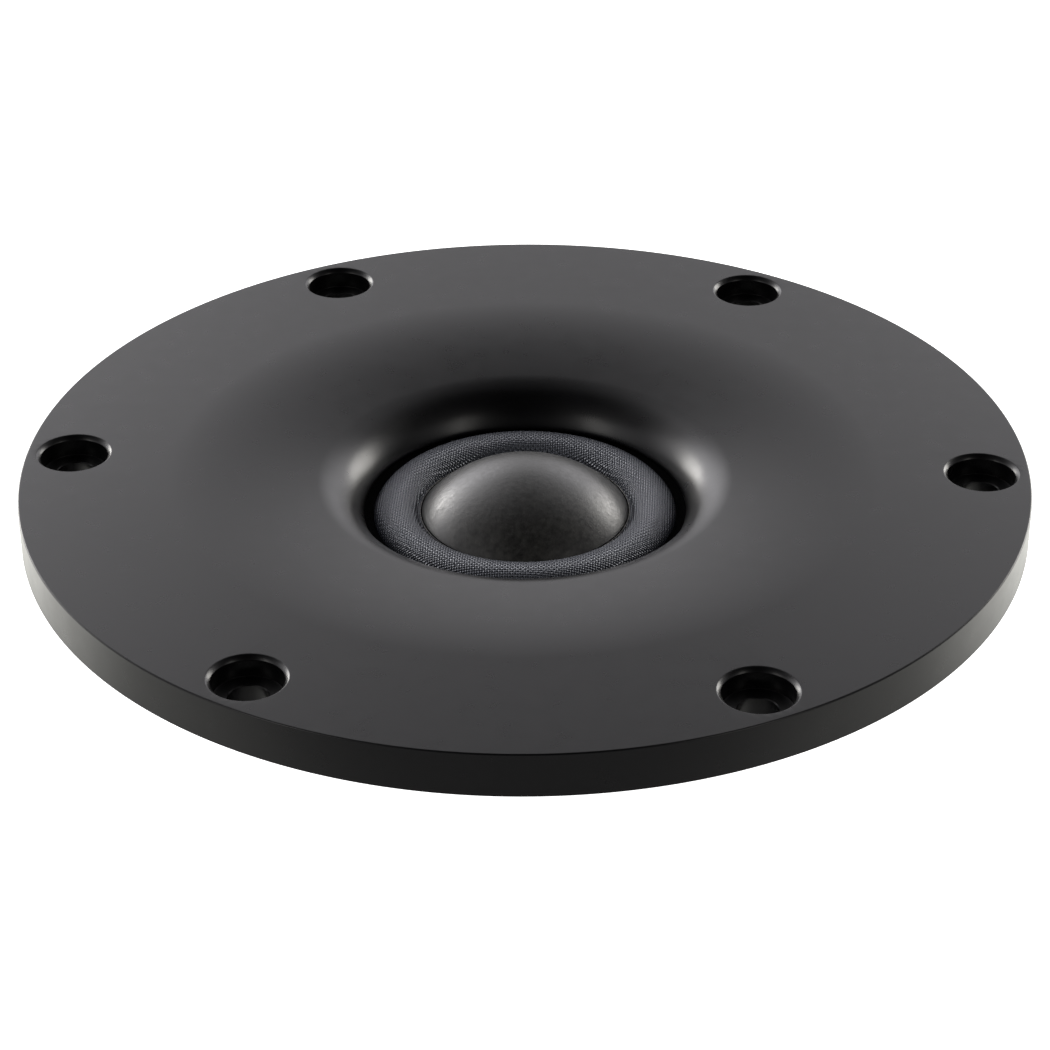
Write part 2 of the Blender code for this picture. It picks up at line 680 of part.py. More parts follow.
def main():
    clear_objects()
    motor_places = [polar(MOTOR_SCREW_CIRCLE, angle) for angle in MOTOR_SCREW_ANGLES]
    cup_places = [polar(CUP_SCREW_CIRCLE, angle) for angle in CUP_SCREW_ANGLES]
    wire_places = [(-TERMINAL_X, WIRE_Y), (TERMINAL_X, WIRE_Y)]
    rivet_places = [(-TERMINAL_X, RIVET_Y), (TERMINAL_X, RIVET_Y)]

    counterbores = counterbore_cutter()
    channels = channel_cutter()
    motor_holes = drill_cutter("motor_holes", MOTOR_HOLE_RADIUS,
                               TOP_PLATE_BOTTOM - CUTTER_MARGIN, MOTOR_HOLE_TOP, motor_places)
    cup_holes = drill_cutter("cup_holes", CUP_HOLE_RADIUS,
                             CUP_HEIGHT - CUP_FLANGE_THICKNESS - CUTTER_MARGIN, CUP_HOLE_TOP,
                             cup_places)
    wire_holes = drill_cutter("wire_holes", WIRE_HOLE_RADIUS, BOARD_BOTTOM - GAP / 2,
                              TOP_PLATE_TOP + GAP / 2, wire_places)
    rivet_holes = drill_cutter("rivet_holes", RIVET_HOLE_RADIUS, TAB_TOP - 2 * TAB_THICKNESS,
                               BOARD_TOP + GAP / 2, rivet_places)
    board_hole = drill_cutter("board_hole", BOARD_HOLE_RADIUS, BOARD_BOTTOM - CUTTER_MARGIN,
                              BOARD_HOLE_TOP, [(0.0, RIVET_Y)])

    faceplate(counterbores, motor_holes, channels)
    surround()
    moving_pieces()
    diaphragm_ring(channels)
    top_plate(motor_holes, wire_holes, board_hole)
    magnet_ring()
    yoke(cup_holes)
    pole_cap()
    pole_felt()
    rear_cup(cup_holes)
    cup_gasket(cup_holes)
    chamber_felt()
    screw_set("motor_screw", MOTOR_SCREW, MOTOR_SCREW_CIRCLE, MOTOR_SCREW_ANGLES,
              TOP_PLATE_BOTTOM - GAP, MOTOR_HOLE_TOP)
    screw_set("cup_screw", CUP_SCREW, CUP_SCREW_CIRCLE, CUP_SCREW_ANGLES,
              CUP_HEIGHT - CUP_FLANGE_THICKNESS - GAP, CUP_HOLE_TOP)

    terminal_board(wire_holes, rivet_holes, board_hole)
    board_screw = screw_mesh("board_screw", BOARD_SCREW,
                             BOARD_HOLE_TOP - SHANK_END_CLEARANCE - TAB_TOP)
    add_piece("board_screw", board_screw, "zinc_steel", location=(0.0, RIVET_Y, TAB_TOP))
    for polarity, side, direction, sleeve in (("positive", "right", 1, "red_sleeve"),
                                              ("negative", "left", -1, "black_sleeve")):
        x = direction * TERMINAL_X
        terminal_tab(polarity, x, rivet_holes)
        terminal_rivet(polarity, x)
        coil_lead(side, x)
        terminal_lead(side, x, sleeve)


main()
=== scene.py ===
"""The looks of a dome tweeter with a wide, dished faceplate.

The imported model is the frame, and every piece takes its place from the nodes' boxes. Pieces that
can be seen are made again as fine meshes with rounded edges and real detail. Each finish is a
procedural material in object coordinates. Lengths are in metres.
"""
import math

import bmesh
import bpy
import numpy as np
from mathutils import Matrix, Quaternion, Vector


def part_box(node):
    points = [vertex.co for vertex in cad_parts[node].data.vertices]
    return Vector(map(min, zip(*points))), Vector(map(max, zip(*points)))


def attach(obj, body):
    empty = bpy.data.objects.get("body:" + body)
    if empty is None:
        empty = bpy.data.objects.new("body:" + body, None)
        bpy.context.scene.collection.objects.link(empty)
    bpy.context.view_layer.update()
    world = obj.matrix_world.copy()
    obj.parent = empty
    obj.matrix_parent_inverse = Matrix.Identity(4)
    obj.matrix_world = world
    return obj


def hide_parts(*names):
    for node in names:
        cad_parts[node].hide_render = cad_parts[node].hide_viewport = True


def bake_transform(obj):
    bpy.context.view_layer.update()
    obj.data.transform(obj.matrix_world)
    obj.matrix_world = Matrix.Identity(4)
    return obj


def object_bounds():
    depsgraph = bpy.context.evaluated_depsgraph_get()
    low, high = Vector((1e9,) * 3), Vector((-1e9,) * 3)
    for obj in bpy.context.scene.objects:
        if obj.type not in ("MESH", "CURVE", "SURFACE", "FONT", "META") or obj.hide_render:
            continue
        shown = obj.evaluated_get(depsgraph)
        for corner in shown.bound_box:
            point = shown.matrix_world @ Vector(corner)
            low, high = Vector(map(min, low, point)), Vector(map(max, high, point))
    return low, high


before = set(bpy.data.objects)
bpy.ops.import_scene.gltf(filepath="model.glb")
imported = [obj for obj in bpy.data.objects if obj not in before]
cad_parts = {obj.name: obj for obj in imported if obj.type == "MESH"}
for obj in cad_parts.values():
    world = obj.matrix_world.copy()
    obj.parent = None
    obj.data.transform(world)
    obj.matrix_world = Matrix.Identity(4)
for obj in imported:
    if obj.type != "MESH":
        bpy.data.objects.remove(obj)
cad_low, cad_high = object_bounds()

MM = 0.001
MICRON = 0.000001

# Resolution
PLATE_STEPS = 288
DISH_STEPS = 28
FLARE_STEPS = 32
TURN_STEPS = 192
DOME_TURN_STEPS = 256
DOME_ARC_STEPS = 56
CLOTH_STEPS = 960
ROLL_FRONT_STEPS = 80
ROLL_BACK_STEPS = 12
BEAD_TURN_STEPS = 720
SCREW_STEPS = 96                # a multiple of 6 for the socket and of 24 for the knurl
RIVET_STEPS = 48
HOLE_STEPS = 64
EDGE_STEPS = 4
SHARP_ANGLE = math.radians(35)

# Camera, from the centre of the faceplate's front
CAMERA_AZIMUTH = math.radians(3.07)
CAMERA_HEIGHT = 176.72 * MM
CAMERA_REACH = 307.84 * MM
CAMERA_AIM = -14.51 * MM        # where the view axis meets the plane of the face, along the view
CAMERA_ROLL = math.radians(-0.309)
CAMERA_LENS = 101.86
CAMERA_SENSOR = 36.0

# Stage
FLOOR_SIZE = 6.0
FLOOR_WHITE = 1.35              # bright enough to show plain white
BACKDROP_WHITE = 1.1
BOUNCE_DROP = 0.1 * MM          # how far the card that gives light lies under the floor
BOUNCE_STRENGTH = 2.2
BOUNCE_COLOUR = (1.0, 0.995, 0.93)
BOUNCE_REACH = 160 * MM
BOUNCE_BAND = (                 # distance along the view from the centre, share of the strength
    (-160 * MM, 0.02), (-98 * MM, 0.03), (-86 * MM, 0.06), (-68 * MM, 0.22), (-35 * MM, 0.30),
    (-12 * MM, 0.62), (20 * MM, 1.0))
SHADOW_BAND = ((66 * MM, 0.0), (92 * MM, 1.0))   # distance from the centre: the tweeter's shadow
SKY_STRENGTH = 3.0
SKY_COLOUR = (0.985, 0.97, 1.0)
SKY_BAND = (                    # elevation in degrees, share of the strength
    (0, 0.35), (14, 1.0), (20, 0.98), (26, 1.0), (30, 0.92), (34, 0.42), (38, 0.24), (50, 0.24),
    (62, 0.10), (90, 0.04))
SKY_SIDES = (                   # azimuth from the view's far side, share of the strength
    (180, 0.02), (150, 0.05), (120, 0.20), (90, 0.10), (60, 0.42), (35, 1.0), (15, 0.70), (0, 0.36))
SKY_LEFT_GAIN = 0.55            # how much brighter the left is, and dimmer the right
SOFTBOX_COLOUR = (1.0, 0.975, 0.92)
SOFTBOX_DISTANCE = 0.6
SOFTBOXES = (                   # name, azimuth, elevation, (width, height) in metres, radiance
    ("back_softbox_left", -43, 8, (0.23, 0.29), 7.5),
    ("back_softbox_right", 49, 12, (0.27, 0.33), 6.0),
    ("front_softbox_left", -128, 24, (0.17, 0.36), 1.5),
    ("front_softbox_right", 134, 24, (0.17, 0.36), 1.5),
)


# Outlines

def rounded(corners, steps=EDGE_STEPS):
    """An outline of (radius, height) points, with an arc at each (radius, height, fillet) corner."""
    points = []
    for index, corner in enumerate(corners):
        if len(corner) == 2:
            points.append(tuple(corner))
            continue
        here = Vector(corner[:2])
        fillet = corner[2]
        before = (Vector(corners[index - 1][:2]) - here).normalized()
        after = (Vector(corners[(index + 1) % len(corners)][:2]) - here).normalized()
        half_angle = before.angle(after) / 2
        centre = here + (before + after).normalized() * fillet / math.sin(half_angle)
        reach = fillet / math.tan(half_angle)
        first = here + before * reach - centre
        last = here + after * reach - centre
        swing = math.atan2(first.cross(last), first.dot(last))
        for step in range(steps + 1):
            turn = swing * step / steps
            points.append((centre.x + first.x * math.cos(turn) - first.y * math.sin(turn),
                           centre.y + first.x * math.sin(turn) + first.y * math.cos(turn)))
    return points


def arc(centre, radius, start, end, steps):
    """Points on an arc in the (radius, height) plane; angles in radians from the +radius side."""
    angles = [start + (end - start) * step / steps for step in range(steps + 1)]
    return [(centre[0] + radius * math.cos(a), centre[1] + radius * math.sin(a)) for a in angles]


def ring_corners(inner, outer, bottom, top, fillet):
    return [(inner, bottom, fillet), (outer, bottom, fillet), (outer, top, fillet),
            (inner, top, fillet)]


# Meshes

def finished_mesh(bm, name):
    mesh = bpy.data.meshes.new(name)
    bmesh.ops.recalc_face_normals(bm, faces=bm.faces)
    bm.to_mesh(mesh)
    bm.free()
    mesh.shade_smooth()
    mesh.set_sharp_from_angle(angle=SHARP_ANGLE)
    return mesh


def turned(name, outline, steps=TURN_STEPS):
    """The outline spun about Z. It closes into a ring unless it starts on the axis."""
    bm = bmesh.new()
    verts = [bm.verts.new((radius, 0.0, height)) for radius, height in outline]
    pairs = list(zip(verts, verts[1:]))
    if outline[0][0] > 0.0:
        pairs.append((verts[-1], verts[0]))
    edges = [bm.edges.new(pair) for pair in pairs]
    bmesh.ops.spin(bm, geom=verts + edges, cent=(0, 0, 0), axis=(0, 0, 1), angle=2 * math.pi,
                   steps=steps, use_merge=True)
    bmesh.ops.remove_doubles(bm, verts=bm.verts, dist=0.1 * MICRON)
    return finished_mesh(bm, name)


def stacked(name, sections, steps):
    """A solid through level loops of radii: each section is (height, function of the angle)."""
    bm = bmesh.new()
    loops = []
    for height, radius_at in sections:
        angles = [2 * math.pi * step / steps for step in range(steps)]
        loops.append([bm.verts.new((radius_at(a) * math.cos(a), radius_at(a) * math.sin(a), height))
                      for a in angles])
    for upper, lower in zip(loops, loops[1:]):
        for step in range(steps):
            after = (step + 1) % steps
            bm.faces.new((upper[step], upper[after], lower[after], lower[step]))
    bm.faces.new(loops[0])
    bm.faces.new(loops[-1])
    return finished_mesh(bm, name)


def block(name, low, high):
    bm = bmesh.new()
    bmesh.ops.create_cube(bm, size=1.0)
    size = Vector(high) - Vector(low)
    middle = (Vector(high) + Vector(low)) / 2
    for vert in bm.verts:
        vert.co = middle + Vector(v * s for v, s in zip(vert.co, size))
    return finished_mesh(bm, name)


def copies(name, mesh, places):
    """One mesh with a copy of another at each (x, y) place."""
    bm = bmesh.new()
    for x, y in places:
        first = len(bm.verts)
        bm.from_mesh(mesh)
        bm.verts.ensure_lookup_table()
        bmesh.ops.translate(bm, verts=bm.verts[first:], vec=(x, y, 0.0))
    return finished_mesh(bm, name)


def polar(radius, degrees):
    angle = math.radians(degrees)
    return (radius * math.cos(angle), radius * math.sin(angle))


# Pieces

def new_object(name, data):
    thing = bpy.data.objects.new(name, data)
    bpy.context.scene.collection.objects.link(thing)
    return thing


def cut(piece, *cutter_meshes):
    """Takes the cutters out of the piece, then evens the normals of its flat faces."""
    cutters = []
    for mesh in cutter_meshes:
        cutter = new_object("cutter", mesh)
        boolean = piece.modifiers.new("cut", "BOOLEAN")
        boolean.operation = "DIFFERENCE"
        boolean.solver = "EXACT"
        boolean.object = cutter
        cutters.append(cutter)
    settle(piece)
    for cutter in cutters:
        bpy.data.objects.remove(cutter, do_unlink=True)
    piece.data.set_sharp_from_angle(angle=SHARP_ANGLE)
    even = piece.modifiers.new("even_normals", "WEIGHTED_NORMAL")
    even.keep_sharp = True
    even.weight = 100
    settle(piece)
    return piece


def settle(piece):
    """Applies the piece's modifiers."""
    depsgraph = bpy.context.evaluated_depsgraph_get()
    mesh = bpy.data.meshes.new_from_object(piece.evaluated_get(depsgraph))
    piece.modifiers.clear()
    piece.data = mesh


def dress(piece, body, nodes, slot_name):
    """The piece rides on the body, stands for the nodes and wears the slot's finish."""
    piece.data.materials.clear()
    piece.data.materials.append(FINISHES[slot_name])
    if body:
        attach(piece, body)
    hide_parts(*nodes)
    return piece


# Materials

class Nodes:
    """Short ways to add nodes to a tree and link them."""

    def __init__(self, tree):
        self.tree = tree

    def node(self, kind, **settings):
        made = self.tree.nodes.new(kind)
        for key, value in settings.items():
            setattr(made, key, value)
        return made

    def feed(self, socket, source):
        """A socket takes a number, a tuple or another node's output."""
        if isinstance(source, bpy.types.NodeSocket):
            self.tree.links.new(source, socket)
        else:
            socket.default_value = source

    def math(self, operation, first, second=0.0):
        made = self.node("ShaderNodeMath", operation=operation)
        self.feed(made.inputs[0], first)
        self.feed(made.inputs[1], second)
        return made.outputs[0]

    def vector(self, operation, first, second=(0.0, 0.0, 0.0)):
        made = self.node("ShaderNodeVectorMath", operation=operation)
        self.feed(made.inputs[0], first)
        self.feed(made.inputs[1], second)
        return made.outputs["Value" if operation in ("LENGTH", "DOT_PRODUCT") else "Vector"]

    def axes(self, place):
        made = self.node("ShaderNodeSeparateXYZ")
        self.feed(made.inputs[0], place)
        return made.outputs

    def levels(self, value, low, high, to_low=0.0, to_high=1.0):
        made = self.node("ShaderNodeMapRange")
        self.feed(made.inputs["Value"], value)
        made.inputs["From Min"].default_value = low
        made.inputs["From Max"].default_value = high
        made.inputs["To Min"].default_value = to_low
        made.inputs["To Max"].default_value = to_high
        return made.outputs["Result"]

    def ramp(self, value, stops, colour=(1.0, 1.0, 1.0)):
        """Stops are (position, level); the colour is multiplied by the level."""
        made = self.node("ShaderNodeValToRGB")
        elements = made.color_ramp.elements
        elements.remove(elements[1])
        for index, (position, level) in enumerate(stops):
            element = elements[0] if index == 0 else elements.new(position)
            element.position = position
            element.color = (*(channel * level for channel in colour), 1.0)
        self.feed(made.inputs[0], value)
        return made.outputs[0]


class Finish(Nodes):
    """One Principled material whose textures lie in object space."""

    def __init__(self, name):
        self.material = bpy.data.materials.new(name)
        self.material.use_nodes = True
        super().__init__(self.material.node_tree)
        self.shader = self.tree.nodes["Principled BSDF"]
        self.place = self.node("ShaderNodeTexCoord").outputs["Object"]

    def put(self, **inputs):
        for key, source in inputs.items():
            self.feed(self.shader.inputs[key.replace("_", " ")], source)

    def noise(self, size, detail=2.0, stretch=None, contrast=None):
        """Noise with features of that size; contrast is the (low, high) part that is kept."""
        place = self.vector("MULTIPLY", self.place, stretch) if stretch else self.place
        made = self.node("ShaderNodeTexNoise")
        self.feed(made.inputs["Vector"], place)
        made.inputs["Scale"].default_value = 1.0 / size
        made.inputs["Detail"].default_value = detail
        value = made.outputs["Fac"]
        return self.levels(value, *contrast) if contrast else value

    def radius(self):
        """Distance from the Z axis."""
        x, y, _ = self.axes(self.place)
        squares = self.math("ADD", self.math("MULTIPLY", x, x), self.math("MULTIPLY", y, y))
        return self.math("SQRT", squares)

    def turning_marks(self, pitch, contrast=(0.3, 0.7)):
        """Fine rings round Z, as a lathe tool leaves them."""
        made = self.node("ShaderNodeTexNoise", noise_dimensions="1D")
        self.feed(made.inputs["W"], self.radius())
        made.inputs["Scale"].default_value = 1.0 / pitch
        made.inputs["Detail"].default_value = 3.0
        return self.levels(made.outputs["Fac"], *contrast)

    def mix(self, share, first, second):
        made = self.node("ShaderNodeMix", data_type="RGBA")
        self.feed(made.inputs["Factor"], share)
        self.feed(made.inputs["A"], first if not isinstance(first, tuple) else (*first, 1.0))
        self.feed(made.inputs["B"], second if not isinstance(second, tuple) else (*second, 1.0))
        return made.outputs["Result"]

    def bumps(self, *layers):
        """Each layer is (height socket, depth in metres)."""
        normal = None
        for height, depth in layers:
            made = self.node("ShaderNodeBump")
            made.inputs["Distance"].default_value = depth
            made.inputs["Strength"].default_value = 1.0
            self.feed(made.inputs["Height"], height)
            if normal:
                self.feed(made.inputs["Normal"], normal)
            normal = made.outputs["Normal"]
        self.feed(self.shader.inputs["Normal"], normal)


def black_anodised():
    """Fine blasted aluminium, dyed black: an even satin with a faint violet cast."""
    finish = Finish("black_anodised")
    clouds = finish.noise(14 * MM, 3.0, contrast=(0.35, 0.65))
    dye = finish.mix(clouds, (0.0010, 0.0009, 0.0013), (0.0020, 0.0018, 0.0024))
    finish.put(Base_Color=dye, Metallic=0.0, IOR=1.5,
               Roughness=finish.levels(finish.noise(2.5 * MM, 4.0), 0.3, 0.7, 0.27, 0.31))
    finish.bumps((finish.noise(0.9 * MM, 2.0), 1.5 * MICRON),
                 (finish.noise(0.16 * MM, 2.0), 2.0 * MICRON))
    return finish.material


def dome_metal():
    """Hard-coated dome foil: satin, faintly mottled, with rubbed marks towards the rim."""
    finish = Finish("dome_metal")
    mottle = finish.noise(0.55 * MM, 5.0, contrast=(0.3, 0.7))
    rubbed = finish.noise(1.1 * MM, 6.0, stretch=(1.0, 0.35, 1.0), contrast=(0.45, 0.75))
    towards_rim = finish.levels(finish.radius(), 7.5 * MM, 12.0 * MM)
    marks = finish.math("MULTIPLY", rubbed, towards_rim)
    coat = finish.mix(mottle, (0.014, 0.0138, 0.0122), (0.030, 0.0295, 0.0262))
    finish.put(Base_Color=finish.mix(marks, coat, (0.070, 0.069, 0.060)), Metallic=0.0, IOR=1.8,
               Roughness=finish.levels(mottle, 0.0, 1.0, 0.31, 0.45))
    finish.bumps((finish.noise(1.6 * MM, 2.0), 6.0 * MICRON),
                 (finish.noise(0.60 * MM, 2.0), 12.0 * MICRON),
                 (finish.noise(0.26 * MM, 1.0), 6.0 * MICRON))
    return finish.material


WEAVE_PITCH = 0.30 * MM
THREAD_SHAPE = 0.65             # how much longer a thread shows along its run than across it


def coated_cloth():
    """Plain weave with a soft coat that fills its valleys; the colour is painted darker in the
    valleys, as shade between the threads.
    """
    finish = Finish("coated_cloth")
    x, y, _ = finish.axes(finish.place)
    wave_x = finish.math("COSINE", finish.math("MULTIPLY", x, math.pi / WEAVE_PITCH))
    wave_y = finish.math("COSINE", finish.math("MULTIPLY", y, math.pi / WEAVE_PITCH))
    on_top = finish.math("SIGN", finish.math("MULTIPLY", wave_x, wave_y))
    lean = finish.math("MULTIPLY", on_top, THREAD_SHAPE)
    across_x = finish.math("POWER", finish.math("ABSOLUTE", wave_x), finish.math("ADD", lean, 1.0))
    across_y = finish.math("POWER", finish.math("ABSOLUTE", wave_y),
                           finish.math("SUBTRACT", 1.0, lean))
    thread = finish.math("MULTIPLY", across_x, across_y)
    fleck = finish.noise(0.40 * MM, 0.0, contrast=(0.80, 0.90))
    # Colour darkens from thread top to valley: painted shade between the threads.
    yarn_and_valley_shade = finish.mix(thread, (0.002, 0.0025, 0.0045), (0.026, 0.030, 0.044))
    finish.put(Base_Color=finish.mix(fleck, yarn_and_valley_shade, (0.12, 0.115, 0.095)), Metallic=0.0, IOR=1.9,
               Roughness=finish.levels(thread, 0.0, 1.0, 0.42, 0.22), Sheen_Weight=0.04,
               Sheen_Roughness=0.4, Sheen_Tint=(0.75, 0.8, 1.0, 1.0),
               Specular_Tint=(0.86, 0.90, 1.0, 1.0))
    finish.bumps((thread, 65 * MICRON), (finish.noise(0.07 * MM, 2.0), 3 * MICRON))
    return finish.material


def plain_finish(name, dark, light, roughness, cloud, grain, depth, metallic=0.0, marks=None):
    """A finish with clouded colour, uneven gloss and a grain; marks is the pitch of turning rings."""
    finish = Finish(name)
    clouds = finish.noise(cloud, 4.0, contrast=(0.3, 0.7))
    finish.put(Base_Color=finish.mix(clouds, dark, light), Metallic=metallic, IOR=1.5,
               Roughness=finish.levels(finish.noise(cloud / 3, 4.0), 0.3, 0.7, *roughness))
    layers = [(finish.noise(grain, 3.0), depth)]
    if marks:
        layers.append((finish.turning_marks(marks), depth))
    finish.bumps(*layers)
    return finish.material


def fibres(name, dark, light, strand, depth):
    """Pressed felt: short strands that cross at random over a soft ground."""
    finish = Finish(name)
    one_way = finish.noise(strand, 4.0, stretch=(1.0, 0.22, 0.6), contrast=(0.42, 0.62))
    other_way = finish.noise(strand, 4.0, stretch=(0.22, 1.0, 0.6), contrast=(0.42, 0.62))
    tangle = finish.math("MAXIMUM", one_way, other_way)
    finish.put(Base_Color=finish.mix(tangle, dark, light), Metallic=0.0,
               Roughness=finish.levels(tangle, 0.0, 1.0, 1.0, 0.85), Sheen_Weight=0.3)
    finish.bumps((tangle, depth), (finish.noise(strand / 4, 3.0), depth / 3))
    return finish.material


def brown_board():
    """Paper laminate: long fibres in the sheet and darker resin spots."""
    finish = Finish("brown_board")
    fibre = finish.noise(0.5 * MM, 5.0, stretch=(0.2, 1.0, 1.0), contrast=(0.3, 0.7))
    spots = finish.noise(0.9 * MM, 1.0, contrast=(0.66, 0.74))
    sheet = finish.mix(fibre, (0.10, 0.040, 0.016), (0.17, 0.075, 0.032))
    finish.put(Base_Color=finish.mix(spots, sheet, (0.05, 0.018, 0.008)), Metallic=0.0, IOR=1.55,
               Roughness=finish.levels(fibre, 0.0, 1.0, 0.34, 0.50))
    finish.bumps((fibre, 6 * MICRON))
    return finish.material


def bead_finish():
    """Dark adhesive with the light ends of threads caught in it."""
    finish = Finish("bead")
    ends = finish.noise(0.28 * MM, 1.0, contrast=(0.52, 0.62))
    finish.put(Base_Color=finish.mix(ends, (0.012, 0.012, 0.012), (0.22, 0.21, 0.18)), IOR=1.5,
               Roughness=finish.levels(ends, 0.0, 1.0, 0.35, 0.55))
    finish.bumps((finish.noise(0.12 * MM, 2.0), 10 * MICRON))
    return finish.material


def painted_gap_shade_finish():
    """Dull and near-black: painted shade that stands for a deep gap."""
    finish = Finish("painted_gap_shade")
    lumps = finish.noise(0.6 * MM, 3.0, contrast=(0.3, 0.7))
    # Near-black colour: painted shade of a deep gap.
    finish.put(Base_Color=finish.mix(lumps, (0.0004, 0.0004, 0.0005), (0.0010, 0.0010, 0.0012)),
               IOR=1.08, Roughness=finish.levels(lumps, 0.0, 1.0, 0.75, 0.95))
    finish.bumps((lumps, 15 * MICRON))
    return finish.material


FINISHES = {
    "black_anodised": black_anodised(),
    "dome_metal": dome_metal(),
    "coated_cloth": coated_cloth(),
    "black_plastic": plain_finish("black_plastic", (0.010, 0.010, 0.011), (0.016, 0.016, 0.017),
                                  (0.42, 0.58), 3 * MM, 0.10 * MM, 4 * MICRON),
    "former_foil": plain_finish("former_foil", (0.42, 0.42, 0.44), (0.60, 0.60, 0.61),
                                (0.26, 0.40), 1.5 * MM, 0.12 * MM, 2 * MICRON, metallic=1.0),
    "copper_wire": plain_finish("copper_wire", (0.42, 0.13, 0.05), (0.66, 0.27, 0.12),
                                (0.22, 0.36), 0.8 * MM, 0.10 * MM, 2 * MICRON, metallic=1.0),
    "copper_sheet": plain_finish("copper_sheet", (0.60, 0.26, 0.13), (0.76, 0.38, 0.22),
                                 (0.22, 0.38), 2 * MM, 0.15 * MM, 2 * MICRON, metallic=1.0),
    "black_steel": plain_finish("black_steel", (0.014, 0.014, 0.016), (0.030, 0.030, 0.034),
                                (0.30, 0.46), 5 * MM, 0.14 * MM, 5 * MICRON, metallic=0.35,
                                marks=0.35 * MM),
    "nickel": plain_finish("nickel", (0.46, 0.44, 0.40), (0.60, 0.58, 0.53), (0.16, 0.30),
                           4 * MM, 0.20 * MM, 3 * MICRON, metallic=1.0),
    "felt": fibres("felt", (0.045, 0.045, 0.042), (0.12, 0.12, 0.112), 0.35 * MM, 60 * MICRON),
    "wool": fibres("wool", (0.42, 0.39, 0.33), (0.66, 0.63, 0.56), 0.45 * MM, 80 * MICRON),
    "foam_rubber": plain_finish("foam_rubber", (0.012, 0.012, 0.012), (0.028, 0.028, 0.028),
                                (0.70, 0.90), 0.8 * MM, 0.16 * MM, 30 * MICRON),
    "brown_board": brown_board(),
    "tinned_brass": plain_finish("tinned_brass", (0.52, 0.49, 0.43), (0.66, 0.64, 0.60),
                                 (0.20, 0.36), 1.2 * MM, 0.12 * MM, 3 * MICRON, metallic=1.0),
    "zinc_steel": plain_finish("zinc_steel", (0.030, 0.030, 0.033), (0.075, 0.075, 0.080),
                               (0.24, 0.40), 1.5 * MM, 0.12 * MM, 3 * MICRON, metallic=0.7),
    "red_sleeve": plain_finish("red_sleeve", (0.36, 0.014, 0.012), (0.50, 0.026, 0.022),
                               (0.36, 0.50), 1.0 * MM, 0.08 * MM, 2 * MICRON),
    "black_sleeve": plain_finish("black_sleeve", (0.010, 0.010, 0.011), (0.020, 0.020, 0.021),
                                 (0.36, 0.50), 1.0 * MM, 0.08 * MM, 2 * MICRON),
}


# Faceplate

PLATE_LOW, PLATE_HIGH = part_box("faceplate")
FACE_Z = PLATE_HIGH.z
PLATE_RADIUS = PLATE_HIGH.x
HUB_BOTTOM = PLATE_LOW.z
FLANGE_BOTTOM = HUB_BOTTOM + 3.0 * MM
HUB_RADIUS = 38.0 * MM
DISH_RADIUS = 42.2 * MM
DISH_POWER = 1.9
FLARE_RADIUS = 24.9 * MM
FLARE_DEPTH = 1.45 * MM
FLARE_ARC_RADIUS = 7.0 * MM
DISH_END_SLOPE = math.atan(DISH_POWER * FLARE_DEPTH / (DISH_RADIUS - FLARE_RADIUS))
THROAT_RADIUS = 19.38 * MM
FLARE_END_SLOPE = math.asin(math.sin(DISH_END_SLOPE)
                            + (FLARE_RADIUS - THROAT_RADIUS) / FLARE_ARC_RADIUS)
LIP_DEPTH = 6.3 * MM
RECESS_RADIUS = 23.3 * MM
EDGE_RADIUS = 0.2 * MM

HOLE_CIRCLE_RADIUS = 54.3 * MM
HOLE_COUNT = 6
CHAMFER_RADIUS = 4.47 * MM
COUNTERBORE_RADIUS = 4.0 * MM
COUNTERBORE_DEPTH = 2.6 * MM
THROUGH_RADIUS = 2.25 * MM
MOTOR_HOLE_RADIUS = 1.7 * MM
HEAD_ROOM = 0.4 * MM            # from the end of a screw to the bottom of its hole
CUTTER_MARGIN = 1.0 * MM


def dish_points():
    """From the flat face over the dish and the flare to the throat."""
    points = []
    for step in range(DISH_STEPS):
        share = step / DISH_STEPS
        radius = DISH_RADIUS + (FLARE_RADIUS - DISH_RADIUS) * share
        points.append((radius, FACE_Z - FLARE_DEPTH * share ** DISH_POWER))
    centre = (FLARE_RADIUS + FLARE_ARC_RADIUS * math.sin(DISH_END_SLOPE),
              FACE_Z - FLARE_DEPTH - FLARE_ARC_RADIUS * math.cos(DISH_END_SLOPE))
    points += arc(centre, FLARE_ARC_RADIUS, math.pi / 2 + DISH_END_SLOPE,
                  math.pi / 2 + FLARE_END_SLOPE, FLARE_STEPS)
    return points


